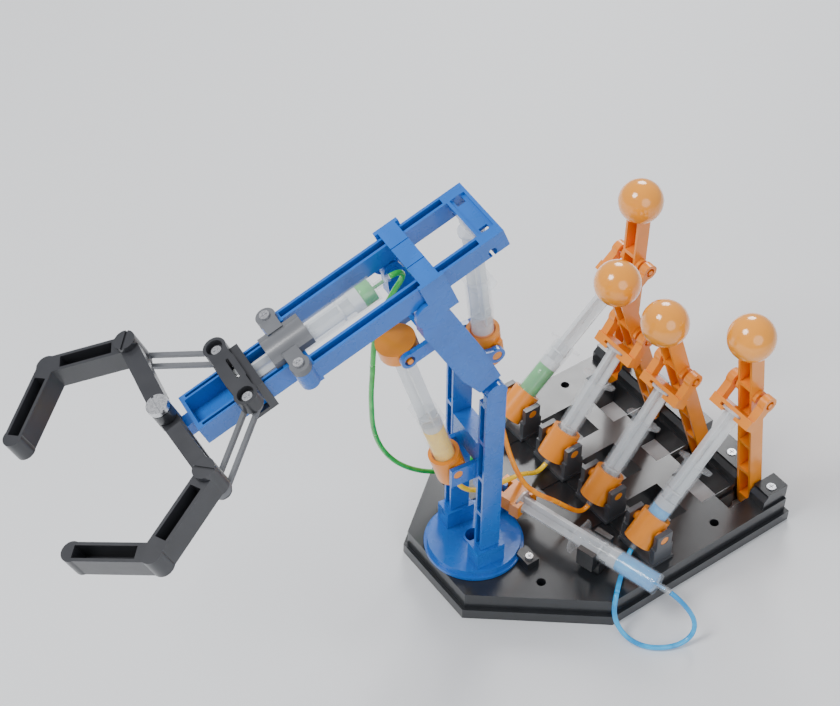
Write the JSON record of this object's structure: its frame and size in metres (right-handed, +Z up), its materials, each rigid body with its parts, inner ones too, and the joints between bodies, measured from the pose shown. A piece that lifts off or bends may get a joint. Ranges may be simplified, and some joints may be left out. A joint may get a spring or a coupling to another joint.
{
  "type": "hydraulic robot arm toy kit",
  "caption": "Desk-top toy robot arm on a black base, with blue links, a two-claw gripper, orange hand levers and clear syringes joined by water-filled tubes",
  "frame": {"origin": "on the floor plane, under the turntable axis, in the underside of the base", "axes": "+Z up; -Y from the hand levers toward the claws; +X to the right of a person who stands at the claws and looks toward the levers, so that lever 4 is at +X"},
  "size_m": [0.2296, 0.4547, 0.2926],
  "materials": {
    "base_plastic": "glossy black moulded plastic",
    "cradle_plastic": "dark grey moulded plastic",
    "blue_plastic": "bright blue moulded plastic",
    "dark_plastic": "charcoal moulded plastic",
    "grey_plastic": "mid grey moulded plastic",
    "orange_plastic": "orange moulded plastic",
    "knob_gloss": "glossy orange plastic",
    "screw_steel": "zinc plated steel",
    "syringe_clear": "clear plastic",
    "plunger_plastic": "translucent white plastic",
    "water_green": "clear tube full of green water",
    "water_yellow": "clear tube full of yellow water",
    "water_orange": "clear tube full of orange water",
    "water_blue": "clear tube full of blue water"
  },
  "bodies": {
    "base": {"base_tray": "base_plastic", "lever_ridge": "base_plastic", "base_screws": "screw_steel", "syringe_cradles": "cradle_plastic", "swing_post": "base_plastic", "disc_clips": "base_plastic", "swing_barrel": "syringe_clear", "tube_green": "water_green", "tube_yellow": "water_yellow", "tube_orange": "water_orange", "tube_blue": "water_blue"},
    "tower": {"turntable": "blue_plastic", "tower_uprights": "blue_plastic", "tower_brace": "blue_plastic"},
    "upper_arm": {"upper_link": "blue_plastic"},
    "beam": {"beam_frame": "blue_plastic", "saddle": "blue_plastic", "grip_clamp": "grey_plastic", "beam_fasteners": "screw_steel", "grip_barrel": "syringe_clear"},
    "grip_slide": {"carrier": "dark_plastic", "carrier_screws": "screw_steel", "grip_plunger": "plunger_plastic"},
    "left_claw": {"claw_left": "dark_plastic"},
    "right_claw": {"claw_right": "dark_plastic"},
    "left_link": {"link_left": "grey_plastic"},
    "right_link": {"link_right": "grey_plastic"},
    "shoulder_cylinder": {"shoulder_barrel": "syringe_clear", "shoulder_collar": "orange_plastic"},
    "shoulder_rod": {"shoulder_plunger": "plunger_plastic", "shoulder_cap": "orange_plastic"},
    "elbow_cylinder": {"elbow_barrel": "syringe_clear", "elbow_collar": "orange_plastic"},
    "elbow_rod": {"elbow_plunger": "plunger_plastic"},
    "swing_rod": {"swing_plunger": "plunger_plastic", "swing_clip": "orange_plastic"},
    "hand_lever_1": {"lever_1": "orange_plastic", "knob_1": "knob_gloss"},
    "cylinder_1": {"barrel_1": "syringe_clear", "collar_1": "orange_plastic"},
    "rod_1": {"plunger_1": "plunger_plastic", "yoke_1": "orange_plastic"},
    "hand_lever_2": {"lever_2": "orange_plastic", "knob_2": "knob_gloss"},
    "cylinder_2": {"barrel_2": "syringe_clear", "collar_2": "orange_plastic"},
    "rod_2": {"plunger_2": "plunger_plastic", "yoke_2": "orange_plastic"},
    "hand_lever_3": {"lever_3": "orange_plastic", "knob_3": "knob_gloss"},
    "cylinder_3": {"barrel_3": "syringe_clear", "collar_3": "orange_plastic"},
    "rod_3": {"plunger_3": "plunger_plastic", "yoke_3": "orange_plastic"},
    "hand_lever_4": {"lever_4": "orange_plastic", "knob_4": "knob_gloss"},
    "cylinder_4": {"barrel_4": "syringe_clear", "collar_4": "orange_plastic"},
    "rod_4": {"plunger_4": "plunger_plastic", "yoke_4": "orange_plastic"}
  },
  "joints": [
    {"name": "arm_swing", "type": "hinge", "parent": "base", "child": "tower", "pos_m": [0, 0, 0.0204], "axis": [0, 0, 1], "range_deg": [-20, 18], "deforming": ["tube_green", "tube_yellow", "tube_orange", "tube_blue"]},
    {"name": "shoulder_lift", "type": "hinge", "parent": "tower", "child": "upper_arm", "pos_m": [-0.00019, -0.00179, 0.174], "axis": [0.9945, -0.1045, 0], "range_deg": [-7, 20], "deforming": ["tube_green", "tube_yellow", "tube_orange"]},
    {"name": "elbow_lift", "type": "hinge", "parent": "upper_arm", "child": "beam", "pos_m": [-0.0049, -0.04663, 0.25534], "axis": [0.9945, -0.1045, 0], "range_deg": [-17, 6], "deforming": ["tube_green", "tube_orange"]},
    {"name": "claw_left_turn", "type": "hinge", "parent": "beam", "child": "left_claw", "pos_m": [-0.01933, -0.1839, 0.22838], "axis": [-0.0383, -0.3645, 0.9304], "range_deg": [-4, 18], "deforming": ["tube_green"]},
    {"name": "claw_right_turn", "type": "hinge", "parent": "beam", "child": "right_claw", "pos_m": [-0.01933, -0.1839, 0.22838], "axis": [0.0383, 0.3645, -0.9304], "range_deg": [-4, 18]},
    {"name": "grip_slide", "type": "slide", "parent": "beam", "child": "grip_slide", "axis": [-0.0973, -0.9253, -0.3665], "range_m": [-0.00336, 0.01505]},
    {"name": "link_right_turn", "type": "hinge", "parent": "grip_slide", "child": "right_link", "pos_m": [0.00373, -0.1463, 0.23374], "axis": [-0.0383, -0.3645, 0.9304], "range_deg": [-1.67, 0.41]},
    {"name": "link_left_turn", "type": "hinge", "parent": "grip_slide", "child": "left_link", "pos_m": [-0.03406, -0.14232, 0.23374], "axis": [0.0383, 0.3645, -0.9304], "range_deg": [-1.67, 0.41]},
    {"name": "shoulder_cylinder_tilt", "type": "hinge", "parent": "tower", "child": "shoulder_cylinder", "pos_m": [-0.00214, -0.02039, 0.1074], "axis": [0.9945, -0.1045, 0], "range_deg": [-3.46, 9.79]},
    {"name": "shoulder_rod_slide", "type": "slide", "parent": "shoulder_cylinder", "child": "shoulder_rod", "axis": [-0.0297, -0.2827, 0.9587], "range_m": [-0.01396, 0.0049]},
    {"name": "elbow_cylinder_tilt", "type": "hinge", "parent": "upper_arm", "child": "elbow_cylinder", "pos_m": [0.00021, 0.00199, 0.195], "axis": [0.9945, -0.1045, 0], "range_deg": [-3.5, 1.27]},
    {"name": "elbow_rod_slide", "type": "slide", "parent": "elbow_cylinder", "child": "elbow_rod", "axis": [-0.0129, -0.1229, 0.9923], "range_m": [-0.01257, 0.00445]},
    {"name": "swing_rod_slide", "type": "slide", "parent": "base", "child": "swing_rod", "axis": [-0.9662, -0.2577, 0], "range_m": [-0.01196, 0.01077]},
    {"name": "hand_lever_1_tilt", "type": "hinge", "parent": "base", "child": "hand_lever_1", "pos_m": [-0.066, 0.177, 0.008], "axis": [-1, 0, 0], "range_deg": [-9.95, 2.25]},
    {"name": "cylinder_1_tilt", "type": "hinge", "parent": "base", "child": "cylinder_1", "pos_m": [-0.066, 0.086, 0.041], "axis": [1, 0, 0], "range_deg": [-1.43, 6.26]},
    {"name": "rod_1_slide", "type": "slide", "parent": "cylinder_1", "child": "rod_1", "axis": [0, 0.751, 0.6603], "range_m": [-0.01499, 0.00335]},
    {"name": "hand_lever_2_tilt", "type": "hinge", "parent": "base", "child": "hand_lever_2", "pos_m": [-0.022, 0.177, 0.008], "axis": [-1, 0, 0], "range_deg": [-3.1, 8.75]},
    {"name": "cylinder_2_tilt", "type": "hinge", "parent": "base", "child": "cylinder_2", "pos_m": [-0.022, 0.086, 0.041], "axis": [1, 0, 0], "range_deg": [-6.04, 2.15]},
    {"name": "rod_2_slide", "type": "slide", "parent": "cylinder_2", "child": "rod_2", "axis": [0, 0.5818, 0.8133], "range_m": [-0.00492, 0.01401]},
    {"name": "hand_lever_3_tilt", "type": "hinge", "parent": "base", "child": "hand_lever_3", "pos_m": [0.022, 0.177, 0.008], "axis": [-1, 0, 0], "range_deg": [-2.81, 7.87]},
    {"name": "cylinder_3_tilt", "type": "hinge", "parent": "base", "child": "cylinder_3", "pos_m": [0.022, 0.086, 0.041], "axis": [1, 0, 0], "range_deg": [-5.45, 1.96]},
    {"name": "rod_3_slide", "type": "slide", "parent": "cylinder_3", "child": "rod_3", "axis": [0, 0.5818, 0.8133], "range_m": [-0.00446, 0.01261]},
    {"name": "hand_lever_4_tilt", "type": "hinge", "parent": "base", "child": "hand_lever_4", "pos_m": [0.066, 0.177, 0.008], "axis": [-1, 0, 0], "range_deg": [-6.98, 7.75]},
    {"name": "cylinder_4_tilt", "type": "hinge", "parent": "base", "child": "cylinder_4", "pos_m": [0.066, 0.086, 0.041], "axis": [1, 0, 0], "range_deg": [-5.06, 4.55]},
    {"name": "rod_4_slide", "type": "slide", "parent": "cylinder_4", "child": "rod_4", "axis": [0, 0.6738, 0.7389], "range_m": [-0.01081, 0.01201]}
  ],
  "couplings": [
    {"joint": "claw_right_turn", "follows": "claw_left_turn", "ratio": 1},
    {"joint": "grip_slide", "follows": "claw_left_turn", "m_per_rad": 0.047842},
    {"joint": "link_right_turn", "follows": "claw_left_turn", "ratio": -0.09},
    {"joint": "link_left_turn", "follows": "claw_left_turn", "ratio": -0.09},
    {"joint": "shoulder_cylinder_tilt", "follows": "shoulder_lift", "ratio": 0.48679},
    {"joint": "shoulder_rod_slide", "follows": "shoulder_lift", "m_per_rad": -0.039927},
    {"joint": "elbow_cylinder_tilt", "follows": "elbow_lift", "ratio": 0.203},
    {"joint": "elbow_rod_slide", "follows": "elbow_lift", "m_per_rad": 0.042287},
    {"joint": "swing_rod_slide", "follows": "arm_swing", "m_per_rad": 0.034206},
    {"joint": "hand_lever_1_tilt", "follows": "claw_left_turn", "ratio": -0.55},
    {"joint": "cylinder_1_tilt", "follows": "claw_left_turn", "ratio": 0.34527},
    {"joint": "rod_1_slide", "follows": "claw_left_turn", "m_per_rad": -0.047665},
    {"joint": "hand_lever_2_tilt", "follows": "shoulder_lift", "ratio": 0.435},
    {"joint": "cylinder_2_tilt", "follows": "shoulder_lift", "ratio": -0.29975},
    {"joint": "rod_2_slide", "follows": "shoulder_lift", "m_per_rad": 0.040073},
    {"joint": "hand_lever_3_tilt", "follows": "elbow_lift", "ratio": -0.46},
    {"joint": "cylinder_3_tilt", "follows": "elbow_lift", "ratio": 0.31783},
    {"joint": "rod_3_slide", "follows": "elbow_lift", "m_per_rad": -0.042429},
    {"joint": "hand_lever_4_tilt", "follows": "arm_swing", "ratio": -0.385},
    {"joint": "cylinder_4_tilt", "follows": "arm_swing", "ratio": 0.25028},
    {"joint": "rod_4_slide", "follows": "arm_swing", "m_per_rad": -0.034337}
  ]
}
